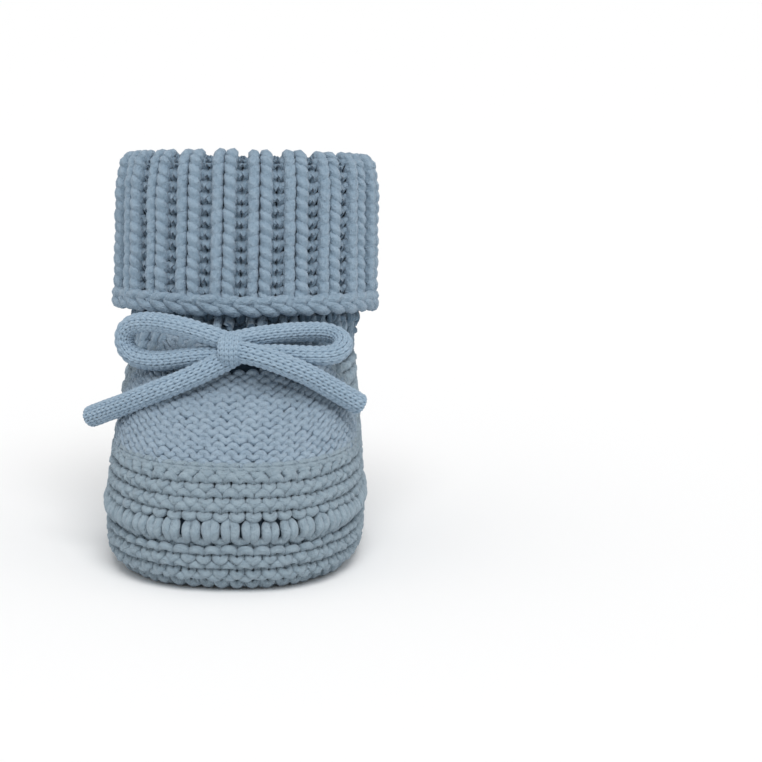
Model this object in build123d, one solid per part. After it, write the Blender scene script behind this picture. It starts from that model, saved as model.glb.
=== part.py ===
from build123d import *
import math
import os

# Hand-knitted baby bootie. Millimetres, +Z up, toe towards -Y, origin on the ground under the middle.

# Driving dimensions
WALL = 3.2                # thickness of the knitted foot
FLOOR = 3.6               # thickness of the sole
WELT_LOW = 11.4           # lower edge of the raised welt above the sole
WELT_HIGH = 16.0          # upper edge of the welt
WELT_BULGE = 1.3          # how far the welt stands out
VAMP_HALF_WIDTH = 22.0    # the instep panel over the toes
VAMP_FRONT = -39.5
VAMP_BACK = 8.0
VAMP_CORNER = 14.0
SEAM_WIDTH = 2.2          # picked-up stitches round the instep panel

LEAN = 10.0               # the leg leans back by this many degrees
LEG_BASE = (0.0, 12.5, 53.0)
LEG_HALF_WIDTH = 27.0
LEG_HALF_DEPTH = 22.0
LEG_WALL = 3.5
CUT_THROUGH = 2.0         # the bore is this much longer than the leg at each end
FOLD_HEIGHT = 36.5        # from the leg's base to the fold of the cuff, along the leg
FOLD_GAP = 0.25           # half the space between the leg and the turned-down cuff
END_GAP = 0.15            # clearance of the leg and the cuff below the fold line

FOLD_STEP = 0.0005        # radians walked at a time along the fold line
RIB_COUNT = 20
RIB_PHASE = -0.385        # first rib, in rib pitches from the middle of the front
RIB_THICKNESS = 3.5
RIB_INNER_WIDTH = 7.3
RIB_OUTER_WIDTH = 6.0
RIB_ROUNDING = 1.4
EDGE_RADIUS = 1.85        # cast-off edge at the end of each rib
EDGE_WIDTH = 5.8
EDGE_OFFSET = 0.1         # its middle lies this much further out
EDGE_RISE_SIDE = 1.5      # the cuff's edge is this much higher at the sides than at the front
EDGE_RISE_BACK = 5.4      # and this much higher at the back

CORD = 4.6                # diameter of the drawstring
ARC_SHARE = 0.45          # share of a run that the arc at its end may take
KNOT_CENTRE = (0.0, -22.8, 50.1)
KNOT_WIDTH = 5.0
KNOT_HALF_DEPTH = 3.9
KNOT_HALF_HEIGHT = 4.5
CORE_SIZE = (8.2, 3.1, 4.4)
CORE_CENTRE = (0.0, -19.25, 51.4)
EYELET_WIDTH = 12.0
EYELET_HEIGHT = 6.2
EYELET_PLACE = (0, -22.0, 50.6)
EYELET_DEPTH = 16.0       # long enough to cut through the front of the ankle only

OUTLINE_POINTS = 24
TAPER = 0.13              # the foot narrows towards the heel
SQUARE = 2.4              # squareness of the foot's outlines near the ground
FOOT_HALF_LENGTH = 47.7   # at the welt's lower edge
FOOT_HALF_WIDTH = 28.7
WELT_DRAW = 0.3           # the foot is this much shorter at the welt's upper edge
WELT_SHIFT = 0.2          # and its middle lies this much further back
FLOOR_LEVEL = (FLOOR, 0.0, 0.0, 46.4, 27.9, SQUARE)
WIDE = 160.0              # larger than the foot, for slices through it
TOP = 90.0                # above the foot

# Height, tilt in degrees, middle along Y, half length, half width and squareness of each outline
FOOT_LEVELS = [
    (0.0, 0.0, 0.0, 42.0, 24.5, SQUARE),
    (2.2, 0.0, 0.0, 45.6, 27.3, SQUARE),
    (6.0, 0.0, 0.0, 47.4, 28.5, SQUARE),
    (WELT_LOW, 0.0, 0.0, FOOT_HALF_LENGTH, FOOT_HALF_WIDTH, SQUARE),
    (WELT_HIGH, 0.0, WELT_SHIFT, FOOT_HALF_LENGTH - WELT_DRAW, FOOT_HALF_WIDTH, SQUARE),
    (20.5, 0.0, 1.0, 46.0, 28.4, SQUARE),
    (25.0, 0.0, 2.2, 44.2, 28.0, SQUARE),
    (31.0, 0.0, 4.2, 41.0, 27.4, 2.35),
    (37.0, 0.0, 6.8, 36.8, 26.8, 2.3),
    (42.5, 2.0, 9.2, 32.0, 26.2, 2.2),
    (47.2, 5.0, 11.0, 27.8, 25.7, 2.1),
    (52.0, LEAN, 12.33, 22.0, 26.0, 2.0),
]
# Distance along the leg, half depth and half width of each outline
LEG_LEVELS = [
    (-1.0, LEG_HALF_DEPTH, 26.0),
    (4.0, LEG_HALF_DEPTH, 26.8),
    (14.0, LEG_HALF_DEPTH, LEG_HALF_WIDTH),
    (FOLD_HEIGHT - END_GAP, LEG_HALF_DEPTH, LEG_HALF_WIDTH),
]
ANKLE_LOW = Plane(origin=(0, 11, 44.0), x_dir=(1, 0, 0), z_dir=(0, math.sin(math.radians(5)), 1))
ANKLE_CORD_HEIGHT = 47.4  # drawstring inside the ankle, at the middle of its ring
ANKLE_CORD_MIDDLE = 11.0
ANKLE_CORD_SLOPE = 0.105  # the ring drops towards the heel

# Routes of the drawstring, point by point
LEFT_LOOP = [
    (-1.0, -22.6, 53.3), (-6.4, -22.6, 54.7), (-12.0, -21.2, 56.4), (-17.8, -18.4, 57.2),
    (-23.3, -15.2, 56.4), (-26.1, -13.7, 53.4), (-26.1, -13.7, 49.2), (-23.3, -15.2, 46.3),
    (-17.8, -18.2, 46.2), (-12.4, -20.8, 47.6), (-7.0, -22.4, 48.7), (-1.0, -23.0, 48.4),
]
RIGHT_LOOP = [
    (1.0, -21.8, 54.0), (5.8, -20.4, 54.6), (11.0, -17.4, 54.7), (16.2, -13.8, 54.3),
    (21.3, -11.5, 53.6), (25.4, -12.9, 52.5), (26.6, -16.9, 50.8), (24.2, -20.4, 49.6),
    (18.4, -21.5, 49.9), (12.4, -21.6, 50.4), (6.6, -21.3, 49.8), (1.0, -20.8, 49.0),
]
LEFT_TAIL = [
    (-1.0, -24.8, 46.2), (-6.2, -26.2, 45.2), (-12.0, -26.2, 43.1), (-18.4, -24.6, 40.5),
    (-25.0, -21.2, 37.3), (-31.0, -16.6, 34.8), (-35.6, -13.2, 32.8),
]
RIGHT_TAIL = [
    (1.0, -25.0, 50.6), (6.4, -26.5, 49.8), (12.4, -26.2, 47.8), (17.8, -24.3, 45.3),
    (22.4, -22.0, 42.2), (26.6, -19.4, 39.3), (30.3, -17.2, 37.0),
]
# Half of the part that runs inside the ankle, seen from above, from the knot to the middle of the heel
ANKLE_HALF = [
    (-2.5, -17.7), (-3.0, -13.0), (-5.4, -8.8), (-9.8, -6.0), (-14.6, -1.6), (-18.0, 4.6),
    (-19.4, 11.6), (-18.4, 19.2), (-14.6, 26.0), (-8.0, 30.6), (0.0, 32.4),
]
EYELET_RISE = 0.72        # the cord climbs a little towards the knot
EYELET_RISE_POINTS = 3    # over this many points of its route


def outline(plane, half_length, half_width, squareness, taper):
    """Closed outline of the foot or the leg, narrower towards +Y, as a face on the plane."""
    points = []
    for i in range(OUTLINE_POINTS):
        turn = 2 * math.pi * i / OUTLINE_POINTS
        c, s = math.cos(turn), math.sin(turn)
        along = math.copysign(abs(s) ** (2 / squareness), s)
        across = math.copysign(abs(c) ** (2 / squareness), c)
        points.append((half_width * across * (1 - taper * along), half_length * along))
    return plane * make_face(Spline(*points, periodic=True))


def level_plane(height, tilt, middle):
    """Plane of one outline, tilted back about X."""
    t = math.radians(tilt)
    return Plane(origin=(0, middle, height), x_dir=(1, 0, 0), z_dir=(0, math.sin(t), math.cos(t)))


def foot_body(levels, inset):
    """Loft through the foot's outlines, each moved inwards by the inset."""
    faces = []
    for height, tilt, middle, half_length, half_width, squareness in levels:
        taper = TAPER * (1 - tilt / LEAN)
        plane = level_plane(height, tilt, middle)
        faces.append(outline(plane, half_length - inset, half_width - inset, squareness, taper))
    return loft(faces)


def leg_point(along, v, w):
    """Point given across the leg (x), front to back (v) and up the leaning leg (w)."""
    t = math.radians(LEAN)
    y = LEG_BASE[1] + v * math.cos(t) + w * math.sin(t)
    z = LEG_BASE[2] - v * math.sin(t) + w * math.cos(t)
    return (along, y, z)


def leg_body(inset, overrun):
    """Loft of the leg; overrun lengthens both ends so that it can cut right through."""
    axis = (0, math.sin(math.radians(LEAN)), math.cos(math.radians(LEAN)))
    faces = []
    for i, (w, half_depth, half_width) in enumerate(LEG_LEVELS):
        stretch = -overrun if i == 0 else overrun if i == len(LEG_LEVELS) - 1 else 0.0
        plane = Plane(origin=leg_point(0, 0, w + stretch), x_dir=(1, 0, 0), z_dir=axis)
        faces.append(outline(plane, half_depth - inset, half_width - inset, 2.0, 0.0))
    return loft(faces)


def slab(low, high):
    """Wide slab between two heights, for slicing the foot."""
    return Pos(0, 0, (low + high) / 2) * Box(WIDE, WIDE, high - low)


def vamp_prism(grow):
    """Upright prism with the outline of the instep panel, grown outwards."""
    half = VAMP_HALF_WIDTH + grow
    front = VAMP_FRONT - grow
    shape = Pos(0, (front + VAMP_BACK) / 2) * Rectangle(2 * half, VAMP_BACK - front)
    corners = shape.vertices().sort_by(Axis.Y)[:2]
    prism = extrude(fillet(corners, VAMP_CORNER + grow), TOP)
    return prism & slab(WELT_HIGH, TOP)


def welt_ring(inside):
    """Bulged ring round the foot."""
    faces = []
    middle_height = (WELT_LOW + WELT_HIGH) / 2
    for height, bulge in ((WELT_LOW, 0.0), (middle_height, WELT_BULGE), (WELT_HIGH, 0.0)):
        share = (height - WELT_LOW) / (WELT_HIGH - WELT_LOW)
        plane = level_plane(height, 0.0, WELT_SHIFT * share)
        half_length = FOOT_HALF_LENGTH - WELT_DRAW * share + bulge
        faces.append(outline(plane, half_length, FOOT_HALF_WIDTH + bulge, SQUARE, TAPER))
    return loft(faces) - inside


def eyelet():
    """Slot through the front of the ankle that both ends of the drawstring come out of."""
    slot = SlotOverall(EYELET_WIDTH, EYELET_HEIGHT)
    plane = Plane(origin=EYELET_PLACE, x_dir=(1, 0, 0), z_dir=(0, 1, 0))
    return extrude(plane * slot, EYELET_DEPTH)


def foot_nodes():
    """Sole, sole band, welt, foot wall, instep panel, its seam and the ankle band."""
    outer = foot_body(FOOT_LEVELS, 0.0)
    inner = foot_body([FLOOR_LEVEL] + FOOT_LEVELS[2:], WALL)
    shell = outer - inner
    high_shell = shell & slab(WELT_HIGH, TOP)
    upper = split(high_shell, bisect_by=ANKLE_LOW, keep=Keep.BOTTOM)
    ankle = split(high_shell, bisect_by=ANKLE_LOW, keep=Keep.TOP)
    panel = vamp_prism(0.0)
    panel_and_seam = vamp_prism(SEAM_WIDTH)
    return {
        "sole": outer & slab(0, FLOOR),
        "sole_band": shell & slab(FLOOR, WELT_LOW),
        "welt": welt_ring(inner),
        "foot_wall": upper - panel_and_seam,
        "instep_panel": upper & panel,
        "instep_seam": (upper & panel_and_seam) - panel,
        "ankle_band": ankle - eyelet(),
    }


def leg_node():
    """Ribbed inner leg, a leaning tube that the cuff folds down from."""
    return leg_body(0.0, 0.0) - leg_body(LEG_WALL, CUT_THROUGH)


def ellipse_station(distance, half_width, half_depth):
    """Angle on the fold line at a distance from the middle of the front, going towards +X."""
    angle = -math.pi / 2
    step = math.copysign(FOLD_STEP, distance)
    walked = 0.0
    while walked < abs(distance):
        angle += step
        walked += math.hypot(half_width * math.sin(angle), half_depth * math.cos(angle)) * abs(step)
    return angle


def fold_length(half_width, half_depth):
    """Length of the elliptical fold line."""
    a, b = half_width, half_depth
    return math.pi * (3 * (a + b) - math.sqrt((3 * a + b) * (a + 3 * b)))


def rib_plane(index):
    """Plane at the rib's hinge: x along the hinge axis, y outwards, z up the leg."""
    a = LEG_HALF_WIDTH + FOLD_GAP
    b = LEG_HALF_DEPTH + FOLD_GAP
    pitch = fold_length(a, b) / RIB_COUNT
    angle = ellipse_station((index + RIB_PHASE) * pitch, a, b)
    across, depth = a * math.cos(angle), b * math.sin(angle)
    run_x, run_v = -a * math.sin(angle), b * math.cos(angle)
    size = math.hypot(run_x, run_v)
    t = math.radians(LEAN)
    tangent = Vector(run_x / size, run_v / size * math.cos(t), -run_v / size * math.sin(t))
    axis = (0, math.sin(t), math.cos(t))
    origin = leg_point(across, depth, FOLD_HEIGHT)
    return Plane(origin=origin, x_dir=tangent * -1, z_dir=axis), depth / b


def rib_panel(index):
    """One rib of the turned-down cuff with its stretch of cast-off edge."""
    plane, depth = rib_plane(index)
    rise = EDGE_RISE_SIDE * (1 - depth * depth)
    if depth > 0:
        rise += EDGE_RISE_BACK * depth * depth
    length = FOLD_HEIGHT - rise
    low, high = FOLD_GAP, FOLD_GAP + RIB_THICKNESS
    inner, outer = RIB_INNER_WIDTH / 2, RIB_OUTER_WIDTH / 2
    shape = make_face(Polyline((-inner, low), (inner, low), (outer, high), (-outer, high), close=True))
    rounded = fillet(shape.vertices().sort_by(Axis.Y)[2:], RIB_ROUNDING)
    body = Pos(0, 0, -length + EDGE_RADIUS) * extrude(rounded, length - EDGE_RADIUS - END_GAP)
    middle = low + EDGE_RADIUS + EDGE_OFFSET
    edge = Pos(0, middle, -length + EDGE_RADIUS) * Cylinder(EDGE_RADIUS, EDGE_WIDTH, rotation=(0, 90, 0))
    return plane * (body + edge), plane


def route_radii(route):
    """Bend radius at each inner point, from the shorter run beside it and the turn."""
    points = [Vector(*p) for p in route]
    radii = []
    for before, here, after in zip(points, points[1:], points[2:]):
        turn = (here - before).get_angle(after - here)
        shorter = min((here - before).length, (after - here).length)
        radii.append(ARC_SHARE * shorter / math.tan(math.radians(turn / 2)))
    return radii


def cord_tube(name, route):
    """Plain tube of the drawstring along straight runs joined by tangent arcs."""
    radii = route_radii(route)
    path = FilletPolyline(*route, radius=radii)
    start = Plane(origin=path @ 0, z_dir=path % 0)
    tube = sweep(start * Circle(CORD / 2), path=path)
    expected = math.pi * CORD ** 2 / 4 * path.length
    print(f"{name}: length {path.length:.1f} mm, volume ratio {tube.volume / expected:.4f},",
          f"radii {min(radii):.1f} to {max(radii):.1f} mm")
    return tube


def ankle_route():
    """Whole route inside the ankle, from the knot round the heel and back to the knot."""
    half = []
    for i, (x, y) in enumerate(ANKLE_HALF):
        climb = EYELET_RISE * max(0.0, 1 - i / EYELET_RISE_POINTS)
        half.append((x, y, ANKLE_CORD_HEIGHT - (y - ANKLE_CORD_MIDDLE) * ANKLE_CORD_SLOPE + climb))
    return half + [(-x, y, z) for x, y, z in reversed(half[:-1])]


def bow_knot():
    """Knot: a short upright wrap with the half hitch behind it."""
    plane = Plane(origin=KNOT_CENTRE, x_dir=(0, 1, 0), z_dir=(1, 0, 0))
    wrap = extrude(plane * Ellipse(KNOT_HALF_DEPTH, KNOT_HALF_HEIGHT), KNOT_WIDTH / 2, both=True)
    core = Pos(*CORE_CENTRE) * Box(*CORE_SIZE)
    return wrap + core


def drawstring_nodes():
    """The drawstring: inside the ankle, knot, two loops and two tails."""
    return {
        "ankle_drawstring": cord_tube("ankle_drawstring", ankle_route()),
        "bow_knot": bow_knot(),
        "left_loop": cord_tube("left_loop", LEFT_LOOP),
        "right_loop": cord_tube("right_loop", RIGHT_LOOP),
        "left_tail": cord_tube("left_tail", LEFT_TAIL),
        "right_tail": cord_tube("right_tail", RIGHT_TAIL),
    }


def main():
    """Builds every node and writes one STEP file for each."""
    os.makedirs("parts", exist_ok=True)
    nodes = foot_nodes()
    nodes["leg"] = leg_node()
    nodes.update(drawstring_nodes())
    for index in range(RIB_COUNT):
        name = f"cuff_rib_{index + 1:02d}"
        nodes[name], plane = rib_panel(index)
        hinge, axis = plane.origin, plane.x_dir
        print(f"{name}: hinge ({hinge.X:.4f}, {hinge.Y:.4f}, {hinge.Z:.4f})",
              f"axis ({axis.X:.6f}, {axis.Y:.6f}, {axis.Z:.6f})")
    for name, shape in nodes.items():
        export_step(shape, f"parts/{name}.step")


main()
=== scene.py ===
"""Hand-knitted baby bootie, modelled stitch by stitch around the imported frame.

Sizes inside the classes are in millimetres; meshes are written in metres in the row frame.
"""
import logging
import math
from dataclasses import dataclass, field, replace
from enum import Enum
from typing import Callable

import bpy
import numpy as np
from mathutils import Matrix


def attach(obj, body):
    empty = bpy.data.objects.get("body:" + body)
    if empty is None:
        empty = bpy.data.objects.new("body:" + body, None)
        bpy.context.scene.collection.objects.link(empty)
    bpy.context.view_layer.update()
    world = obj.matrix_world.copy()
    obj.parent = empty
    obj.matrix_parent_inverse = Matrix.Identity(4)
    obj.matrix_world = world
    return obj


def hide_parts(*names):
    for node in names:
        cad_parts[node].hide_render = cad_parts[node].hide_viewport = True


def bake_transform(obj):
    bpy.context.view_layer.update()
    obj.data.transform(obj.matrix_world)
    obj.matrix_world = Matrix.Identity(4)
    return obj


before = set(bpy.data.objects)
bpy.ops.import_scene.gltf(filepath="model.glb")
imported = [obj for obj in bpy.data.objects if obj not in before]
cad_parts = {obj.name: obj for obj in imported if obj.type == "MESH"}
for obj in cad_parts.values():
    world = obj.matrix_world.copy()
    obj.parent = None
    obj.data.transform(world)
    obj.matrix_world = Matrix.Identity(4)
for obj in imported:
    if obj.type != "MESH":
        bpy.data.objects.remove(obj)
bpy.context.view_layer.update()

MM = 0.001
ROOT = "foot"
RIBS = 20
RIB_PHASE = -0.385  # place of the first rib from the front, in ribs
AROUND = 720  # steps round an outline
FINE = 2880  # steps used to space an outline evenly
TINY = 1e-9  # keeps a division by a length from failing
LOG = logging.getLogger("bootie")

Mapping = Callable[[np.ndarray], np.ndarray]
YarnKnot = tuple[float, float, float, float]
Colour = tuple[float, float, float]
Place = tuple[float, float, float]
Socket = bpy.types.NodeSocket


class Face(Enum):
    """Which side of plain knitting looks outwards."""

    KNIT = -1.0
    PURL = 1.0


# --------------------------------------------------------------------------- meshes

def deselect_all() -> None:
    """Leaves nothing selected, so that an operator acts only on what comes next."""
    if bpy.context.object and bpy.context.object.mode != "OBJECT":
        bpy.ops.object.mode_set(mode="OBJECT")
    bpy.ops.object.select_all(action="DESELECT")


def mesh_object(name: str, points: np.ndarray, quads: np.ndarray, uvs: np.ndarray | None = None,
                caps: list[np.ndarray] | None = None, depth: np.ndarray | None = None) -> bpy.types.Object:
    """Writes a mesh of quads, and end caps, as a new smooth-shaded object.

    Args:
        name: The object's name.
        points: Vertices in millimetres, N by 3.
        quads: Vertex numbers, M by 4, counter-clockwise from outside.
        uvs: One UV pair for each corner of each quad, M by 4 by 2.
        caps: Rings of vertex numbers that close open ends.
        depth: Height of each vertex above the middle of the cloth, for the painted shade between stitches.

    Returns:
        The new object.
    """
    caps = caps or []
    mesh = bpy.data.meshes.new(name)
    mesh.vertices.add(len(points))
    mesh.vertices.foreach_set("co", (points * MM).astype(np.float32).ravel())
    corners = np.concatenate([quads.ravel()] + caps).astype(np.int32)
    sizes = np.concatenate([np.full(len(quads), 4), [len(cap) for cap in caps]]).astype(np.int32)
    starts = np.concatenate([[0], np.cumsum(sizes)[:-1]]).astype(np.int32)
    mesh.loops.add(len(corners))
    mesh.loops.foreach_set("vertex_index", corners)
    mesh.polygons.add(len(sizes))
    mesh.polygons.foreach_set("loop_start", starts)
    mesh.polygons.foreach_set("use_smooth", np.ones(len(sizes), dtype=bool))
    mesh.update(calc_edges=True)
    if uvs is not None:
        layer = mesh.uv_layers.new(name="yarn")
        flat = np.zeros((len(corners), 2), dtype=np.float32)
        flat[:quads.size] = uvs.reshape(-1, 2)
        layer.data.foreach_set("uv", flat.ravel())
    if depth is not None:
        mesh.attributes.new("depth", "FLOAT", "POINT").data.foreach_set("value", depth.astype(np.float32))
    mesh.validate()
    made = bpy.data.objects.new(name, mesh)
    bpy.context.scene.collection.objects.link(made)
    return made


def tube_quads(rings: int, around: int) -> np.ndarray:
    """Quads between rings of points, with the outside outwards for rings that go up."""
    rows, corner = np.arange(rings - 1)[:, None], np.arange(around)[None, :]
    nxt = (corner + 1) % around
    corners = np.broadcast_arrays(
        rows * around + corner, rows * around + nxt, (rows + 1) * around + nxt, (rows + 1) * around + corner)
    return np.stack(corners, axis=-1).reshape(-1, 4)


def triangles(piece: bpy.types.Object) -> int:
    """Number of triangles of a piece."""
    return len(piece.data.loops) - 2 * len(piece.data.polygons)


def joined(pieces: list[bpy.types.Object]) -> bpy.types.Object:
    """Joins pieces into the first of them."""
    deselect_all()
    for piece in pieces:
        piece.select_set(True)
    bpy.context.view_layer.objects.active = pieces[0]
    bpy.ops.object.join()
    return pieces[0]


@dataclass
class Strands:
    """Rows of yarn as centre lines on a flat cloth, ready to be laid on a surface.

    Attributes:
        lines: Rows by points by (x, y, lift) in millimetres.
        radii: Rows by points, the yarn's radius.
        closed: Whether each row runs round and meets itself.
        keep: Rows by points, false where the yarn is left out.
        sides: Corners of the yarn's section.
    """

    lines: np.ndarray
    radii: np.ndarray
    closed: bool = False
    keep: np.ndarray | None = None
    sides: int = 6

    def rings(self) -> np.ndarray:
        """Section corners round every point of every row, rows by points by sides by 3."""
        lines = self.lines
        if self.closed:
            span = lines[:, -1:, :] - lines[:, :1, :]
            before, after = lines[:, -2:-1, :] - span, lines[:, 1:2, :] + span
            run = (np.concatenate([lines[:, 1:], after], axis=1)
                   - np.concatenate([before, lines[:, :-1]], axis=1))
        else:
            run = np.gradient(lines, axis=1)
        run /= np.linalg.norm(run, axis=2, keepdims=True) + TINY
        side = np.cross(run, np.array([0.0, 0.0, 1.0]))
        side /= np.linalg.norm(side, axis=2, keepdims=True) + TINY
        lift = np.cross(side, run)
        turn = 2 * np.pi * np.arange(self.sides) / self.sides
        around = np.cos(turn)[:, None] * side[:, :, None, :] + np.sin(turn)[:, None] * lift[:, :, None, :]
        return lines[:, :, None, :] + around * self.radii[:, :, None, None]

    def build(self, name: str, mapping: Mapping) -> bpy.types.Object:
        """Makes the yarn as tubes and lays it on a surface.

        Args:
            name: The object's name.
            mapping: Turns flat points (x, y, lift) into points of the row frame, all in millimetres.

        Returns:
            The new object.
        """
        rows, count, _ = self.lines.shape
        sides = self.sides
        rings = self.rings()
        steps = np.diff(self.lines, axis=1, prepend=self.lines[:, :1])
        along = np.cumsum(np.linalg.norm(steps, axis=2), axis=1)
        used = count - 1 if self.closed else count
        points = rings[:, :used].reshape(-1, 3)
        here = np.arange(count - 1)
        there = (here + 1) % used if self.closed else here + 1
        corner = np.arange(sides)
        nxt = (corner + 1) % sides
        base = (np.arange(rows) * used * sides)[:, None, None]
        a = base + here[None, :, None] * sides + corner
        b = base + there[None, :, None] * sides + corner
        c = base + there[None, :, None] * sides + nxt
        d = base + here[None, :, None] * sides + nxt
        quads = np.stack([a, d, c, b], axis=-1)
        u0, u1 = along[:, :-1, None], along[:, 1:, None]
        v0, v1 = corner / sides, (corner + 1) / sides
        shape = quads.shape[:3]
        uvs = np.stack([
            np.stack([np.broadcast_to(u, shape), np.broadcast_to(v, shape)], axis=-1)
            for u, v in ((u0, v0), (u0, v1), (u1, v1), (u1, v0))], axis=-2)
        caps: list[np.ndarray] = []
        shown = np.ones((rows, count - 1), dtype=bool)
        if self.keep is not None:
            shown = self.keep[:, :-1] & self.keep[:, 1:]
        quads, uvs = quads[shown], uvs[shown]
        for row in range(rows):
            caps += self._caps(row, shown[row], used)
        points, quads, caps = compact(points, quads.reshape(-1, 4), caps)
        return mesh_object(name, mapping(points), quads, uvs.reshape(-1, 4, 2), caps, points[:, 2])

    def _caps(self, row: int, shown: np.ndarray, used: int) -> list[np.ndarray]:
        """Rings that close the ends of one row's shown stretches."""
        start = row * used * self.sides
        corner = np.arange(self.sides)
        caps, count = [], len(shown)
        for i in np.flatnonzero(shown):
            before = shown[i - 1] if i > 0 or self.closed else False
            after = shown[(i + 1) % count] if i < count - 1 or self.closed else False
            if not before:
                caps.append(start + i * self.sides + corner)
            if not after:
                caps.append(start + ((i + 1) % used) * self.sides + corner[::-1])
        return caps


def compact(points: np.ndarray, quads: np.ndarray, caps: list[np.ndarray]
            ) -> tuple[np.ndarray, np.ndarray, list[np.ndarray]]:
    """Drops vertices that no face uses, and renumbers the faces."""
    used = np.unique(np.concatenate([quads.ravel()] + caps))
    number = np.full(len(points), -1)
    number[used] = np.arange(len(used))
    return points[used], number[quads], [number[cap] for cap in caps]


def wobble(rows: int, columns: int, count: int, size: float, seed: int, closed: bool) -> np.ndarray:
    """Small smooth differences from stitch to stitch, rows by points.

    Args:
        rows: Number of rows.
        columns: Number of stitches in a row.
        count: Number of points in a row.
        size: Largest difference.
        seed: Seed of the draw.
        closed: Whether the rows run round and meet themselves.

    Returns:
        A value for each point.
    """
    draw = np.random.default_rng(seed).uniform(-size, size, (rows, columns + 1))
    if closed:
        draw[:, -1] = draw[:, 0]
    place = np.linspace(0, columns, count)
    cell = np.minimum(place.astype(int), columns - 1)
    share = place - cell
    share = share * share * (3 - 2 * share)
    return draw[:, cell] * (1 - share) + draw[:, cell + 1] * share


# --------------------------------------------------------------------------- stitches

def between(s: np.ndarray, start: np.ndarray, start_slope: np.ndarray, end: np.ndarray,
            end_slope: np.ndarray) -> np.ndarray:
    """Smooth value from start to end, at a share s from 0 to 1 of the way between them."""
    return ((2 * s**3 - 3 * s**2 + 1) * start + (s**3 - 2 * s**2 + s) * start_slope
            + (3 * s**2 - 2 * s**3) * end + (s**3 - s**2) * end_slope)


def spline(knots: np.ndarray, steps: int) -> np.ndarray:
    """Smooth line through knots, with the same number of steps between each two."""
    before, after = np.roll(knots, 1, axis=0), np.roll(knots, -1, axis=0)
    before[0], after[-1] = 2 * knots[0] - knots[1], 2 * knots[-1] - knots[-2]
    slope = (after - before) / 2
    s = (np.arange(steps) / steps)[None, :, None]
    line = between(s, knots[:-1, None], slope[:-1, None], knots[1:, None], slope[1:, None])
    return np.concatenate([line.reshape(-1, knots.shape[1]), knots[-1:]])


@dataclass(frozen=True)
class Stitch:
    """One repeat of a row of knitting, drawn as the path of its yarn from left to right.

    Attributes:
        width: Width of the repeat, in millimetres.
        row: Distance between rows, in millimetres.
        path: Knots of the yarn: way across the repeat from 0 to 1, height in rows, lift and radius
            in millimetres. The first and the last knot are the same but for the width.
        steps: Steps between two knots.
    """

    width: float
    row: float
    path: tuple[YarnKnot, ...]
    steps: int = 3

    def strands(self, repeats: int, rows: int, seed: int, closed: bool = False, play: float = 0.16,
                sides: int = 6, level: float = 0.0) -> Strands:
        """Rows of this stitch on a flat cloth.

        Args:
            repeats: Repeats in a row.
            rows: Number of rows.
            seed: Seed of the small differences between stitches.
            closed: Whether the rows run round.
            play: Size of the differences, in millimetres.
            sides: Corners of the yarn's section.
            level: Height of the first row.

        Returns:
            The rows of yarn.
        """
        scale = np.array([self.width, self.row, 1.0, 1.0])
        knots = np.array(self.path) * scale
        shift = np.array([self.width, 0.0, 0.0, 0.0])
        inner = [knots[:-1] + shift * i for i in range(repeats)]
        line = spline(np.concatenate(inner + [knots[:1] + shift * repeats]), self.steps)
        count = len(line)
        cells = repeats * 2
        height = level + (np.arange(rows) * self.row)[:, None]
        lines = np.stack([
            line[None, :, 0] + wobble(rows, cells, count, play, seed, closed),
            height + line[None, :, 1] * (1 + wobble(rows, cells, count, 0.10, seed + 1, closed))
            + wobble(rows, cells, count, play, seed + 2, closed),
            line[None, :, 2] + wobble(rows, cells, count, play, seed + 3, closed),
        ], axis=-1)
        radii = line[None, :, 3] * (1 + wobble(rows, cells, count, 0.09, seed + 4, closed))
        return Strands(lines, radii, closed, sides=sides)


def mirrored(half: tuple[YarnKnot, ...]) -> tuple[YarnKnot, ...]:
    """The second half of a stitch added to its first half."""
    return half + tuple((1 - x, y, lift, radius) for x, y, lift, radius in reversed(half[:-1]))


def plain(width: float, row: float, yarn: float, face: Face, depth: float = 0.55, legs: float = 0.25,
          lean: float = 0.09, tall: float = 0.95) -> Stitch:
    """One stitch of plain knitting.

    Args:
        width: Width of the stitch.
        row: Height of the stitch.
        yarn: Radius of the yarn.
        face: Side that looks outwards.
        depth: How far the loop goes in and out of the cloth.
        legs: Place of the legs, as a share of the width from the middle.
        lean: How far the legs lean out, as a share of the width.
        tall: Half the height of the loop, in rows.

    Returns:
        The stitch.
    """
    s = face.value * depth
    return Stitch(width, row, mirrored((
        (0.0, -tall, s, yarn), (0.5 - legs, -0.72 * tall, s * 0.45, yarn),
        (0.5 - legs + lean * 0.4, -0.35 * tall, -s * 0.6, yarn * 1.02),
        (0.5 - legs, 0.0, -s, yarn * 1.08), (0.5 - legs - lean, 0.5 * tall, -s * 0.45, yarn * 1.02),
        (0.5 - legs * 0.72, 0.88 * tall, s * 0.55, yarn), (0.5, tall, s, yarn))))


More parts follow.
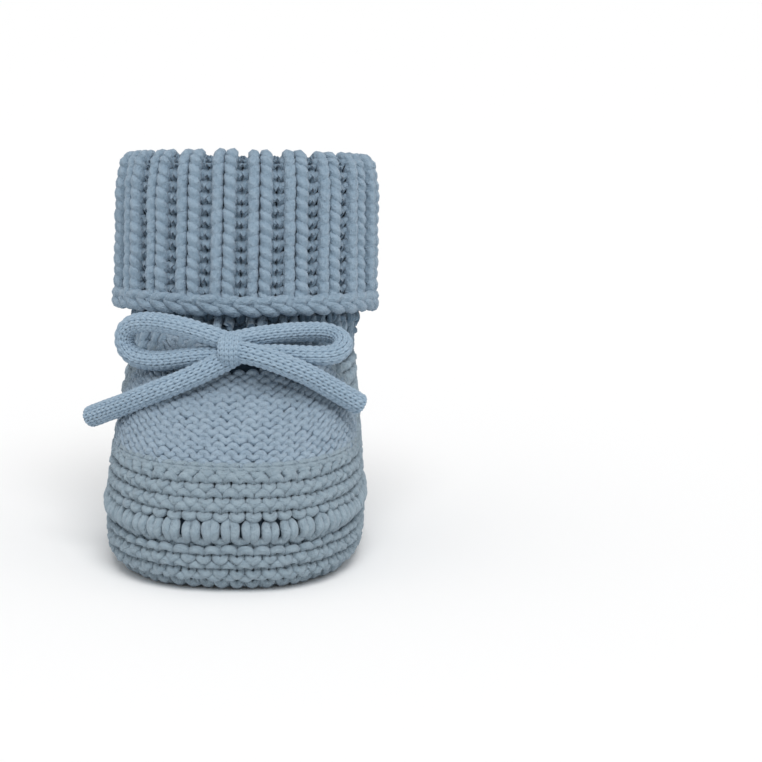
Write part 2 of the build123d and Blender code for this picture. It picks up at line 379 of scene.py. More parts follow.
def one_by_one(width: float, row: float, plump: float = 1.0) -> Stitch:
    """One pair of ribbing: half a sunken purl stitch, a raised knit stitch, half a purl stitch.

    Args:
        width: Width of the pair.
        row: Height of the stitches.
        plump: Thickness of the yarn against the cuff's.

    Returns:
        The pair.
    """
    path = (
        (0.0, 0.50, -0.30, 1.0), (0.055, 0.36, -0.50, 0.95), (0.095, -0.05, -1.3, 0.85),
        (0.14, -0.50, -0.8, 0.88), (0.20, -0.80, -0.5, 0.95), (0.335, -0.74, 0.40, 1.14),
        (0.340, -0.05, 1.18, 1.34), (0.312, 0.68, 0.62, 1.20), (0.36, 1.02, -0.6, 0.95),
        (0.50, 1.08, -1.2, 0.85),
        (0.64, 1.02, -0.6, 0.95), (0.734, 0.66, 0.55, 1.18), (0.675, -0.04, 1.22, 1.36),
        (0.618, -0.74, 0.34, 1.10), (0.80, -0.80, -0.5, 0.95), (0.86, -0.50, -0.8, 0.88),
        (0.905, -0.05, -1.3, 0.85), (0.945, 0.36, -0.50, 0.95), (1.0, 0.50, -0.30, 1.0))
    return Stitch(width, row, tuple((x, y, lift, radius * plump) for x, y, lift, radius in path))


def garter(width: float, ridge: float, yarn: float, repeats: int, ridges: int, seed: int,
           closed: bool, level: float, play: float = 0.12) -> Strands:
    """Ridges of garter stitch: a raised purl row and a sunken knit row by turns.

    Args:
        width: Width of a stitch.
        ridge: Distance between ridges.
        yarn: Radius of the yarn.
        repeats: Stitches in a row.
        ridges: Number of ridges.
        seed: Seed of the small differences between stitches.
        closed: Whether the rows run round.
        level: Height of the lowest ridge.
        play: Size of the differences, in millimetres.

    Returns:
        The rows of yarn.
    """
    raised = plain(width, ridge, yarn, Face.PURL, 0.60, tall=0.41).strands(
        repeats, ridges, seed, closed, play, level=level)
    sunken = plain(width, ridge, yarn * 0.9, Face.KNIT, 0.35, tall=0.40).strands(
        repeats, ridges, seed + 50, closed, play, level=level + ridge / 2)
    raised.lines[:, :, 2] += 0.42
    sunken.lines[:, :, 2] -= 0.95
    return Strands(np.concatenate([raised.lines, sunken.lines]), np.concatenate([raised.radii, sunken.radii]),
                   closed)


# --------------------------------------------------------------------------- surfaces

def smooth_curve(at: np.ndarray, places: np.ndarray, values: np.ndarray) -> np.ndarray:
    """Smooth curve through values at increasing places, read at new places."""
    slope = np.gradient(values, places)
    cell = np.clip(np.searchsorted(places, at, side="right") - 1, 0, len(places) - 2)
    width = places[cell + 1] - places[cell]
    s = (at - places[cell]) / width
    return between(s, values[cell], width * slope[cell], values[cell + 1], width * slope[cell + 1])


@dataclass
class FootSurface:
    """Outside of the foot from the ground to the leg, measured round from the heel by way of -X.

    Attributes:
        lean: How far the leg leans back, in degrees.
        taper: How much the foot narrows towards the heel.
        levels: Height, tilt, middle, half length, half width and squareness of each outline.
        heights: Heights of the fine grid's outlines.
        grid: Points of the fine grid.
        normals: Outward direction at each point of the grid.
        girth: Length round each outline.
    """

    lean: float = 10.0
    taper: float = 0.13
    levels: tuple[tuple[float, ...], ...] = (
        (0.0, 0.0, 0.0, 42.0, 24.5, 2.4), (2.2, 0.0, 0.0, 45.6, 27.3, 2.4),
        (6.0, 0.0, 0.0, 47.4, 28.5, 2.4), (11.4, 0.0, 0.0, 47.7, 28.7, 2.4),
        (16.0, 0.0, 0.2, 47.4, 28.7, 2.4), (20.5, 0.0, 1.0, 46.0, 28.4, 2.4),
        (25.0, 0.0, 2.2, 44.2, 28.0, 2.4), (31.0, 0.0, 4.2, 41.0, 27.4, 2.35),
        (37.0, 0.0, 6.8, 36.8, 26.8, 2.3), (42.5, 2.0, 9.2, 32.0, 26.2, 2.2),
        (47.2, 5.0, 11.0, 27.8, 25.7, 2.1), (52.0, 10.0, 12.33, 22.0, 26.0, 2.0))
    heights: np.ndarray = field(init=False)
    grid: np.ndarray = field(init=False)
    normals: np.ndarray = field(init=False)
    girth: np.ndarray = field(init=False)

    def __post_init__(self) -> None:
        """Works out the surface as a fine grid, evenly spaced round each height."""
        table = np.array(self.levels)
        self.heights = np.linspace(0, table[-1, 0], 209)
        values = [smooth_curve(self.heights, table[:, 0], table[:, i]) for i in range(1, 6)]
        turn = np.linspace(0.5 * np.pi, 2.5 * np.pi, FINE + 1)
        rings, lengths = [], []
        for height, tilt, middle, length, width, square in zip(self.heights, *values):
            along = np.sign(np.sin(turn)) * np.abs(np.sin(turn)) ** (2 / square)
            across = np.sign(np.cos(turn)) * np.abs(np.cos(turn)) ** (2 / square)
            taper = self.taper * (1 - tilt / self.lean)
            x, y = width * across * (1 - taper * along), length * along
            walked = np.concatenate([[0], np.cumsum(np.hypot(np.diff(x), np.diff(y)))])
            even = np.linspace(0, walked[-1], AROUND + 1)
            x, y = np.interp(even, walked, x), np.interp(even, walked, y)
            t = math.radians(tilt)
            rings.append(np.stack([x, middle + y * math.cos(t), height - y * math.sin(t)], axis=-1))
            lengths.append(walked[-1])
        self.grid = np.array(rings)
        self.girth = np.array(lengths)
        up = np.gradient(self.grid, axis=0)
        around = np.roll(self.grid[:, :-1], -1, axis=1) - np.roll(self.grid[:, :-1], 1, axis=1)
        around = np.concatenate([around, around[:, :1]], axis=1)
        out = np.cross(around, up)
        self.normals = out / (np.linalg.norm(out, axis=2, keepdims=True) + TINY)

    def _read(self, table: np.ndarray, share: np.ndarray, height: np.ndarray) -> np.ndarray:
        """Reads the grid between its points."""
        column = (share % 1.0) * AROUND
        count = len(self.heights)
        row = np.clip(np.interp(height, self.heights, np.arange(count)), 0, count - 1.001)
        c, r = column.astype(int), row.astype(int)
        fc, fr = (column - c)[:, None], (row - r)[:, None]
        low = table[r, c] * (1 - fc) + table[r, c + 1] * fc
        high = table[r + 1, c] * (1 - fc) + table[r + 1, c + 1] * fc
        return low * (1 - fr) + high * fr

    def at(self, share: np.ndarray, height: np.ndarray, lift: np.ndarray) -> np.ndarray:
        """Points on or off the surface.

        Args:
            share: Way round from the heel, 0 to 1, 0.5 at the toe.
            height: Height of the outline's middle.
            lift: Distance outwards.

        Returns:
            Points, N by 3.
        """
        normal = self._read(self.normals, share, height)
        return self._read(self.grid, share, height) + normal * lift[:, None]

    def normal(self, share: np.ndarray, height: np.ndarray) -> np.ndarray:
        """Outward directions at places on the surface."""
        return self._read(self.normals, share, height)

    def girth_at(self, height: np.ndarray) -> np.ndarray:
        """Length round the foot at a height."""
        return np.interp(height, self.heights, self.girth)

    def climb(self, share: np.ndarray, low: float, walked: np.ndarray) -> np.ndarray:
        """Height reached by walking up the surface.

        Args:
            share: Way round from the heel, 0 to 1.
            low: Height at the start.
            walked: Distance walked, in millimetres.

        Returns:
            The heights.
        """
        rows, last, reach, per_mm = 160, 180, 60, 4
        heights = np.linspace(low, self.heights[-1], rows)
        columns = np.linspace(0, 1, last + 1)
        line = self.at(*(table.ravel() for table in np.meshgrid(columns, heights)), np.zeros((last + 1) * rows))
        steps = np.linalg.norm(np.diff(line.reshape(rows, last + 1, 3), axis=0), axis=2)
        far = np.concatenate([np.zeros((1, last + 1)), np.cumsum(steps, axis=0)])
        places = np.linspace(0, reach, reach * per_mm + 1)
        table = np.stack([np.interp(places, far[:, i], heights) for i in range(last + 1)])
        column, place = (share % 1.0) * last, np.clip(walked, 0, reach - 0.1) * per_mm
        c, p = column.astype(int), place.astype(int)
        fc, fp = column - c, place - p
        right = np.minimum(c + 1, last)
        near = table[c, p] * (1 - fp) + table[c, p + 1] * fp
        beside = table[right, p] * (1 - fp) + table[right, p + 1] * fp
        return near * (1 - fc) + beside * fc


@dataclass
class LegSurface:
    """The leaning leg and the cuff outside it, measured from the fold line between them.

    Attributes:
        half_width: Half width of the fold line.
        half_depth: Half depth of the fold line.
        fold_height: From the leg's base to the fold line.
        offset: From the fold line to the middle of the leg's wall, and to the middle of the cuff's.
        lean: How far the leg leans back, in degrees.
        base: Middle of the leg's base.
        line: Points of the fold line.
        out: Outward direction at each of them.
    """

    half_width: float = 27.25
    half_depth: float = 22.25
    fold_height: float = 36.5
    offset: float = 1.65
    lean: float = 10.0
    base: Place = (0.0, 12.5, 53.0)
    line: np.ndarray = field(init=False)
    out: np.ndarray = field(init=False)

    def __post_init__(self) -> None:
        """Works out the fold line, evenly spaced from the heel by way of -X."""
        turn = np.linspace(0.5 * np.pi, 2.5 * np.pi, FINE + 1)
        x, v = self.half_width * np.cos(turn), self.half_depth * np.sin(turn)
        walked = np.concatenate([[0], np.cumsum(np.hypot(np.diff(x), np.diff(v)))])
        even = np.interp(np.linspace(0, walked[-1], AROUND + 1), walked, turn)
        self.line = np.stack([self.half_width * np.cos(even), self.half_depth * np.sin(even)], axis=-1)
        out = np.stack([self.half_depth * np.cos(even), self.half_width * np.sin(even)], axis=-1)
        self.out = out / np.linalg.norm(out, axis=1, keepdims=True)

    def at(self, share: np.ndarray, offset: np.ndarray, up: np.ndarray) -> np.ndarray:
        """Points of the row frame.

        Args:
            share: Way round from the heel, 0 to 1, 0.5 at the front.
            offset: Distance outwards from the fold line.
            up: Distance up the leg from its base.

        Returns:
            Points, N by 3.
        """
        place = (share % 1.0) * AROUND
        cell = place.astype(int)
        part = (place - cell)[:, None]
        line = self.line[cell] * (1 - part) + self.line[cell + 1] * part
        out = self.out[cell] * (1 - part) + self.out[cell + 1] * part
        flat = line + out * offset[:, None]
        t = math.radians(self.lean)
        y = self.base[1] + flat[:, 1] * math.cos(t) + up * math.sin(t)
        z = self.base[2] - flat[:, 1] * math.sin(t) + up * math.cos(t)
        return np.stack([flat[:, 0], y, z], axis=-1)

    def depth_at(self, share: np.ndarray) -> np.ndarray:
        """Where a place lies between the front, -1, and the back, 1."""
        place = ((share % 1.0) * AROUND).astype(int)
        return self.line[place, 1] / self.half_depth


# --------------------------------------------------------------------------- finishes

class Finish(Enum):
    """Finishes that a piece can have."""

    INSTEP = "instep"
    FOOT = "foot"
    RIB = "rib"
    CORD = "cord"
    # Dark backing whose colour is painted shade between the stitches.
    SHADE_BACKING = "ground"


class Nodes:
    """A matt material and the nodes that it is made of.

    Attributes:
        material: The material.
        tree: Its node tree.
        shader: Its surface shader.
    """

    def __init__(self, name: str, roughness: float, specular: float | None = None) -> None:
        """Starts the material.

        Args:
            name: Name of the material.
            roughness: Roughness of the surface.
            specular: Strength of its shine, if it isn't the usual one.
        """
        self.material = bpy.data.materials.new(name)
        self.material.use_nodes = True
        self.tree = self.material.node_tree
        self.shader = self.tree.nodes["Principled BSDF"]
        self.shader.inputs["Roughness"].default_value = roughness
        if specular is not None:
            self.shader.inputs["Specular IOR Level"].default_value = specular

    def node(self, kind: str) -> bpy.types.Node:
        """Adds a node."""
        return self.tree.nodes.new("ShaderNode" + kind)

    def link(self, start: Socket, end: Socket) -> None:
        """Joins two sockets."""
        self.tree.links.new(start, end)

    def sum(self, kind: str, value: Socket, other: Socket | float, third: Socket | None = None) -> Socket:
        """Adds one sum.

        Args:
            kind: Which sum.
            value: First value.
            other: Second value.
            third: Third value, where the sum has one.

        Returns:
            The result.
        """
        node = self.node("Math")
        node.operation = kind
        self.link(value, node.inputs[0])
        if isinstance(other, Socket):
            self.link(other, node.inputs[1])
        else:
            node.inputs[1].default_value = other
        if third is not None:
            self.link(third, node.inputs[2])
        return node.outputs[0]

    def noise(self, where: Socket, scale: float, detail: float) -> Socket:
        """Adds a noise texture and returns its value."""
        node = self.node("TexNoise")
        node.inputs["Scale"].default_value = scale
        node.inputs["Detail"].default_value = detail
        self.link(where, node.inputs["Vector"])
        return node.outputs[0]

    def mix(self, factor: Socket, low: Colour, high: Colour | Socket) -> Socket:
        """Adds a mix from one colour to another.

        Args:
            factor: Share of the second colour.
            low: First colour.
            high: Second colour.

        Returns:
            The mixed colour.
        """
        node = self.node("Mix")
        node.data_type = "RGBA"
        node.inputs["A"].default_value = (*low, 1.0)
        if isinstance(high, Socket):
            self.link(high, node.inputs["B"])
        else:
            node.inputs["B"].default_value = (*high, 1.0)
        self.link(factor, node.inputs["Factor"])
        return node.outputs["Result"]

    def finish(self, colour: Socket, height: Socket, relief: float) -> bpy.types.Material:
        """Puts the colour and the relief on the surface and returns the material."""
        bump = self.node("Bump")
        bump.inputs["Distance"].default_value = relief
        self.link(height, bump.inputs["Height"])
        self.link(bump.outputs[0], self.shader.inputs["Normal"])
        self.link(colour, self.shader.inputs["Base Color"])
        return self.material


@dataclass(frozen=True)
class YarnFinish:
    """Soft wool yarn.

    Attributes:
        name: Name of the material.
        color: Linear base colour.
        shade: Darker colour between the fibres.
        twist: Length of one turn of the plies, in millimetres.
        sheen: Weight of the soft halo of fibres.
        relief: Height of the fibres, in millimetres.
        hollow: Heights between which the painted shade between stitches fades, in millimetres.
        least: Share of the yarn's own colour left in the deepest hollows by the painted shade.
        deepest: Share of the shade colour's red, green and blue in the painted shade of the deepest hollows.
    """

    name: str
    color: Colour
    shade: Colour
    twist: float = 2.6
    sheen: float = 0.35
    relief: float = 0.2
    hollow: tuple[float, float] = (-1.9, 0.9)
    least: float = 0.36
    deepest: Colour = (0.5, 0.6, 0.66)

    def material(self) -> bpy.types.Material:
        """Builds the material."""
        nodes = Nodes(self.name, 0.95, 0.12)
        nodes.shader.inputs["Sheen Weight"].default_value = self.sheen
        nodes.shader.inputs["Sheen Roughness"].default_value = 0.45
        nodes.shader.inputs["Sheen Tint"].default_value = (0.82, 0.90, 1.0, 1.0)
        place = nodes.node("TexCoord").outputs["Object"]
        uv = nodes.node("UVMap")
        uv.uv_map = "yarn"
        split = nodes.node("SeparateXYZ")
        nodes.link(uv.outputs["UV"], split.inputs[0])
        turn = nodes.sum("MULTIPLY", split.outputs["X"], 2 * math.pi / self.twist)
        ply = nodes.sum("MULTIPLY", split.outputs["Y"], 4 * math.pi)
        wave = nodes.sum("SINE", nodes.sum("ADD", turn, ply), 0.0)
        stretch = nodes.node("Mapping")
        stretch.inputs["Scale"].default_value = (1.0, 9.0, 1.0)
        stretch.inputs["Rotation"].default_value = (0.0, 0.0, 0.5)
        nodes.link(uv.outputs["UV"], stretch.inputs["Vector"])
        hairs = nodes.noise(stretch.outputs[0], 2.2, 5.0)
        fuzz = nodes.noise(place, 1500.0, 3.0)
        blotch = nodes.noise(place, 260.0, 2.0)
        tone = nodes.sum("MULTIPLY_ADD", wave, 0.16, hairs)
        tone = nodes.sum("MULTIPLY_ADD", fuzz, 0.55, tone)
        tone = nodes.sum("MULTIPLY_ADD", blotch, 0.5, tone)
        ramp = nodes.node("MapRange")
        ramp.inputs["From Min"].default_value = 0.62
        ramp.inputs["From Max"].default_value = 1.45
        nodes.link(tone, ramp.inputs["Value"])
        wool = nodes.mix(ramp.outputs[0], self.shade, self.color)
        # Painted shade: the colour darkens towards yarn that lies deep in the cloth, read from the depth
        # attribute, in place of the shade between stitches.
        deep = nodes.node("Attribute")
        deep.attribute_name = "depth"
        fade = nodes.node("MapRange")
        fade.interpolation_type = "SMOOTHSTEP"
        fade.inputs["From Min"].default_value, fade.inputs["From Max"].default_value = self.hollow
        fade.inputs["To Min"].default_value = self.least
        nodes.link(deep.outputs["Fac"], fade.inputs["Value"])
        wool_with_painted_shade = nodes.mix(fade.outputs[0], tuple(c * k for c, k in zip(self.shade, self.deepest)), wool)
        height = nodes.sum("MULTIPLY_ADD", wave, 0.22, hairs)
        height = nodes.sum("MULTIPLY_ADD", fuzz, 1.1, height)
        return nodes.finish(wool_with_painted_shade, height, self.relief * MM * 2)


@dataclass(frozen=True)
class ShadeBackingFinish:
    """Matt backing cloth seen deep between the stitches, coloured dark as painted shade for the gaps between
    them.

    Attributes:
        name: Name of the material.
        color: Linear base colour, dark as painted shade.
    """

    name: str
    color: Colour

    def material(self) -> bpy.types.Material:
        """Builds the material."""
        nodes = Nodes(self.name, 1.0, 0.0)
        noise = nodes.noise(nodes.node("TexCoord").outputs["Object"], 900.0, 4.0)
        dark, light = (tuple(min(1.0, c * share) for c in self.color) for share in (0.75, 1.25))
        return nodes.finish(nodes.mix(noise, dark, light), noise, 0.15 * MM)


FINISHES = {
    Finish.INSTEP: YarnFinish("pale_blue_instep_wool", (0.36, 0.455, 0.545), (0.27, 0.36, 0.45),
                              hollow=(-1.6, 0.2)),
    Finish.FOOT: YarnFinish("pale_blue_foot_wool", (0.33, 0.415, 0.475), (0.24, 0.315, 0.375),
                            hollow=(-1.9, 0.4)),
    Finish.RIB: YarnFinish("blue_rib_wool", (0.32, 0.42, 0.515), (0.21, 0.295, 0.38), 2.4),
    Finish.CORD: YarnFinish("blue_cord_yarn", (0.375, 0.485, 0.59), (0.25, 0.35, 0.45), 1.2, 0.3, 0.05,
                            (-0.28, 0.2), 0.45),
    # Painted shade: the dark backing stands in for the shadow seen through the gaps between stitches.
    Finish.SHADE_BACKING: ShadeBackingFinish("painted_shade_backing", (0.085, 0.13, 0.18)),
}


class Wardrobe:
    """Makes each finish once and puts it on pieces."""

    def __init__(self) -> None:
        """Makes every material."""
        self.made = {key: finish.material() for key, finish in FINISHES.items()}

    def dress(self, piece: bpy.types.Object, finish: Finish, slot: str) -> bpy.types.Object:
        """Gives a piece its finish."""
        piece.data.materials.clear()
        piece.data.materials.append(self.made[finish])
        return piece


# --------------------------------------------------------------------------- camera and light

@dataclass
class Studio:
    """Camera, floor and soft light.

    Attributes:
        azimuth: Turn of the camera round the bootie, in degrees from straight ahead.
        elevation: Height of the camera over the ground, in degrees.
        distance: From the camera to the target, in metres.
        target: Where the camera looks, in metres.
        lens: Length of the lens, in millimetres.
        shift: Shift of the lens, as a share of the picture.
    """

    azimuth: float = 5.2
    elevation: float = 11.0
    distance: float = 0.70
    target: Place = (0.0, 0.012, 0.050)
    lens: float = 139.6
    shift: tuple[float, float] = (0.1785, -0.0793)

    def build(self) -> None:
        """Adds the camera, the lights and the floor."""
        self.camera()
        self.lights()
        self.floor()

    def camera(self) -> None:
        """Adds the camera at the viewing angle."""
        a, e = math.radians(self.azimuth), math.radians(self.elevation)
        back = (math.sin(a) * math.cos(e), -math.cos(a) * math.cos(e), math.sin(e))
        place = [t + self.distance * b for t, b in zip(self.target, back)]
        lens = bpy.data.cameras.new("camera")
        lens.lens = self.lens
        lens.sensor_width = 36.0
        lens.shift_x, lens.shift_y = self.shift
        lens.clip_start = 0.01
        camera = bpy.data.objects.new("camera", lens)
        bpy.context.scene.collection.objects.link(camera)
        camera.location = place
        camera.rotation_euler = (math.pi / 2 - e, 0.0, a)
        bpy.context.scene.camera = camera

    def lights(self) -> None:
        """Adds an even white sky and one wide, soft lamp overhead."""
        bpy.context.scene.view_settings.view_transform = "Standard"
        world = bpy.data.worlds.new("studio")
        world.use_nodes = True
        sky = world.node_tree.nodes["Background"]
        sky.inputs[0].default_value = (1.0, 1.0, 1.0, 1.0)
        sky.inputs[1].default_value = 0.62
        bpy.context.scene.world = world
        lamp = bpy.data.lights.new("softbox", "SUN")
        lamp.energy = 1.75
        lamp.angle = math.radians(38)
        holder = bpy.data.objects.new("softbox", lamp)
        bpy.context.scene.collection.objects.link(holder)
        holder.rotation_euler = (math.radians(30), math.radians(8), 0.0)

    def floor(self) -> None:
        """Adds a plain pale floor."""
        deselect_all()
        bpy.ops.mesh.primitive_plane_add(size=12.0, location=(0.0, 0.0, 0.0))
        floor = bpy.context.object
        floor.name = "studio_floor"
        floor.data.materials.clear()
        paint = Nodes("white_floor", 0.9)
        paint.shader.inputs["Base Color"].default_value = (0.93, 0.93, 0.93, 1.0)
        floor.data.materials.append(paint.material)


# --------------------------------------------------------------------------- drawstring

@dataclass
class Cord:
    """A fine knitted tube along a route.

    Attributes:
        name: Name of the piece.
        route: Control points in metres.
        seed: Seed of the small differences between stitches.
        diameter: Outer diameter of the tube.
        wales: Columns of stitches round the tube.
        course: Length of one stitch.
        yarn: Radius of the yarn.
        core: Radius of the closed inner side of the tube.
        rounded: Whether the far end is rounded off.
    """

    name: str
    route: tuple[Place, ...]
    seed: int
    diameter: float = 4.6
    wales: int = 10
    course: float = 1.6
    yarn: float = 0.37
    core: float = 1.66
    rounded: bool = False

    def centre_line(self) -> np.ndarray:
        """Points along the route's smooth line, in metres."""
        curve = bpy.data.curves.new(self.name + "_line", "CURVE")
        curve.dimensions = "3D"
        curve.resolution_u = 24
        drawn = curve.splines.new("NURBS")
        drawn.points.add(len(self.route) - 1)
        for point, place in zip(drawn.points, self.route):
            point.co = (*place, 1.0)
        drawn.order_u = 3
        drawn.use_endpoint_u = True
        holder = bpy.data.objects.new(self.name + "_line", curve)
        bpy.context.scene.collection.objects.link(holder)
        mesh = bpy.data.meshes.new_from_object(holder)
        line = np.array([vertex.co[:] for vertex in mesh.vertices])
        bpy.data.objects.remove(holder)
        bpy.data.curves.remove(curve)
        bpy.data.meshes.remove(mesh)
        return line

    def build(self) -> tuple[bpy.types.Object, np.ndarray, float]:
        """Knits the tube.

        Returns:
            The piece, its centre line in metres, and its length in millimetres.
        """
        line = self.centre_line() / MM
        walked = np.concatenate([[0], np.cumsum(np.linalg.norm(np.diff(line, axis=0), axis=1))])
        length = float(walked[-1])
        places = np.linspace(0, length, int(length / 0.4))
        points = np.stack([np.interp(places, walked, line[:, i]) for i in range(3)], axis=-1)
        run = np.gradient(points, axis=0)
        run /= np.linalg.norm(run, axis=1, keepdims=True)
        side = np.zeros_like(run)
        last = np.cross(run[0], (0.0, 0.0, 1.0))
        for i, ahead in enumerate(run):
            last = last - ahead * np.dot(last, ahead)
            last /= np.linalg.norm(last)
            side[i] = last
        up = np.cross(side, run)
        girth = math.pi * (self.diameter - 2 * self.yarn)
        surface = self.diameter / 2 - self.yarn - 0.16

        def lay(flat: np.ndarray) -> np.ndarray:
            at = np.clip(flat[:, 1], 0, length)
            angle = 2 * np.pi * flat[:, 0] / girth
            read = [np.stack([np.interp(at, places, table[:, i]) for i in range(3)], axis=-1)
                    for table in (points, side, up)]
            radius = surface + flat[:, 2]
            if self.rounded:
                end = np.clip((at - length + 0.9) / 1.0, 0.0, 1.0)
                radius = radius * np.sqrt(1 - end**3).clip(0.5)
            ring = np.cos(angle)[:, None] * read[1] + np.sin(angle)[:, None] * read[2]
            return read[0] + ring * radius[:, None]

        stitch = plain(girth / self.wales, self.course, self.yarn, Face.KNIT, 0.22, 0.25, 0.12, 0.74)
        knit = stitch.strands(self.wales, int(length / self.course) + 1, self.seed, True, 0.04, 5)
        knit.lines = knit.lines[:, ::2]
        knit.radii = knit.radii[:, ::2]
        piece = knit.build(self.name, lay)
        inner = self._core(lay, surface, length, girth)
        return joined([piece, inner]), points * MM, length

    def _core(self, lay: Mapping, surface: float, length: float, girth: float) -> bpy.types.Object:
        """Makes the closed inner side of the tube."""
        around, count = 20, max(4, int(length / 0.8))
        turn = np.arange(around) / around * girth
        at = np.linspace(0, length, count)
        flat = np.stack(np.broadcast_arrays(turn[None, :], at[:, None], self.core - surface), axis=-1)
        quads = tube_quads(count, around)
        caps = [np.arange(around)[::-1], (count - 1) * around + np.arange(around)]
        uvs = np.zeros((len(quads), 4, 2))
        depth = np.full(around * count, self.core - surface)
        return mesh_object(self.name + "_core", lay(flat.reshape(-1, 3)), quads, uvs, caps, depth)


ROUTES = {
    "left_loop": (
        (-0.0004, -0.0230, 0.0518), (-0.0056, -0.0226, 0.0536), (-0.0114, -0.0212, 0.0549),
        (-0.0172, -0.0184, 0.0553), (-0.0226, -0.0154, 0.0546), (-0.0254, -0.0139, 0.0522),
        (-0.0254, -0.0139, 0.0486), (-0.0228, -0.0154, 0.0462), (-0.0176, -0.0182, 0.0460),
        (-0.0122, -0.0208, 0.0472), (-0.0068, -0.0224, 0.0484), (-0.0004, -0.0230, 0.0488)),
    "right_loop": (
        (0.0004, -0.0226, 0.0520), (0.0054, -0.0206, 0.0528), (0.0106, -0.0176, 0.0530),
        (0.0156, -0.0142, 0.0528), (0.0204, -0.0118, 0.0524), (0.0242, -0.0129, 0.0514),
        (0.0252, -0.0166, 0.0498), (0.0230, -0.0203, 0.0486), (0.0178, -0.0216, 0.0487),
        (0.0120, -0.0220, 0.0490), (0.0064, -0.0220, 0.0490), (0.0004, -0.0216, 0.0490)),
    "left_tail": (
        (0.0000, -0.0240, 0.0484), (-0.0052, -0.0258, 0.0459), (-0.0112, -0.0262, 0.0431),
        (-0.0176, -0.0246, 0.0402), (-0.0240, -0.0212, 0.0368), (-0.0296, -0.0168, 0.0339),
        (-0.0338, -0.0134, 0.0316)),
    "right_tail": (
        (0.0006, -0.0248, 0.0504), (0.0064, -0.0264, 0.0496), (0.0122, -0.0262, 0.0476),
        (0.0174, -0.0243, 0.0451), (0.0218, -0.0220, 0.0420), (0.0258, -0.0196, 0.0391),
        (0.0292, -0.0174, 0.0366)),
}


@dataclass
class Knot:
    """The upright wrap at the middle of the bow.

    Attributes:
        centre: Middle of the wrap.
        half_width: Half the width of the band that wraps.
        half_depth: Half the depth over the wrap.
        half_height: Half the height over the wrap.
        wales: Columns of stitches across the band.
        courses: Stitches round the wrap.
    """

    centre: Place = (0.0, -23.3, 50.3)
    half_width: float = 2.7
    half_depth: float = 5.1
    half_height: float = 3.9
    wales: int = 5
    courses: int = 18

    def build(self) -> bpy.types.Object:
        """Knits the wrap."""
        width = 2 * self.half_width / self.wales
        course = 1.6
        girth = self.courses * course
        stitch = plain(width, course, 0.37, Face.KNIT, 0.22, 0.25, 0.12, 0.74)
        knit = stitch.strands(self.wales, self.courses, 33, False, 0.04, 5)

        def lay(flat: np.ndarray) -> np.ndarray:
            x = flat[:, 0] - self.half_width
            angle = 2 * np.pi * flat[:, 1] / girth
            barrel = 1 - 0.26 * np.abs(x / self.half_width) ** 3
            y = self.centre[1] - (self.half_depth * barrel - 0.4 + flat[:, 2]) * np.cos(angle)
            z = self.centre[2] + (self.half_height * barrel - 0.4 + flat[:, 2]) * np.sin(angle)
            return np.stack([x * (1 - 0.04 * np.cos(angle)), y, z], axis=-1)

        piece = knit.build("bow_knot_wrap", lay)
        across, around = 9, 24
        xs = np.linspace(0.0, 2 * self.half_width, across)
        turn = np.arange(around) / around * girth
        flat = np.stack(np.broadcast_arrays(xs[:, None], turn[None, :], -0.3), axis=-1)
        quads = tube_quads(across, around)[:, ::-1]
        caps = [np.arange(around), (across - 1) * around + np.arange(around)[::-1]]
        core = mesh_object("bow_knot_core", lay(flat.reshape(-1, 3)), quads, np.zeros((len(quads), 4, 2)), caps,
                           np.full(across * around, -0.3))
        return joined([piece, core])


@dataclass
class Drawstring:
    """The drawstring: its bow, its tails, its knot and the stretch inside the ankle.

    Attributes:
        wardrobe: Finishes.
        diameter: Diameter of the cord; not used.
        ring_height: Height of the hidden stretch at its middle.
        ring_middle: Where that middle is, from front to back.
        ring_slope: How much the stretch drops for each millimetre towards the heel.
        rise: How much it rises to the eyelet at the front.
        ring_half: Points of its left half, seen from above.
    """

    wardrobe: Wardrobe
    diameter: float = 4.6
    ring_height: float = 47.4
    ring_middle: float = 11.0
    ring_slope: float = 0.105
    rise: float = 0.72
    ring_half: tuple[tuple[float, float], ...] = (
        (-2.5, -17.7), (-3.0, -13.0), (-5.4, -8.8), (-9.8, -6.0), (-14.6, -1.6), (-18.0, 4.6),
        (-19.4, 11.6), (-18.4, 19.2), (-14.6, 26.0), (-8.0, 30.6), (0.0, 32.4))

    def build(self) -> list[bpy.types.Object]:
        knot = Knot().build()
        self.finish(knot, "bow_knot")
        made = [knot]
        ends = {"left_loop": "knot", "right_loop": "knot", "left_tail": "bare", "right_tail": "bare"}
        for seed, (name, far_end) in enumerate(ends.items()):
            cord = Cord(name + "_cord", ROUTES[name], 10 * seed)
            if far_end == "bare":
                cord = replace(cord, diameter=5.1, core=1.9, rounded=True)
            made.append(self.stretch(cord, name, far_end, knot))
        made.append(self.stretch(Cord("ankle_drawstring_cord", self.ring_route(), 50), "ankle_drawstring",
                                 "knot", knot))
        return made

    def stretch(self, cord: Cord, node: str, far_end: str, knot: bpy.types.Object) -> bpy.types.Object:
        """Args:
            cord: The stretch.
            node: CAD node that it stands for.
            far_end: What its far end is; not used.
            knot: The knot that it belongs to; not used.

        Returns:
            The piece.
        """
        piece, line, length = cord.build()
        self.finish(piece, node)
        LOG.info("%s: %.1f mm long", piece.name, length)
        return piece

    def finish(self, piece: bpy.types.Object, node: str) -> None:
        """Dresses a stretch of cord and puts it on the foot."""
        self.wardrobe.dress(piece, Finish.CORD, "drawstring")
        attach(piece, ROOT)
        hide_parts(node)

    def ring_route(self) -> tuple[Place, ...]:
        """Control points of the stretch inside the ankle, in metres."""
        half = []
        for i, (x, y) in enumerate(self.ring_half):
            climb = self.rise * max(0.0, 1 - i / 3)
            half.append((x, y, self.ring_height - (y - self.ring_middle) * self.ring_slope + climb))
        whole = half + [(-x, y, z) for x, y, z in reversed(half[:-1])]
        return tuple(tuple(value * MM for value in point) for point in whole)


# --------------------------------------------------------------------------- cuff and leg

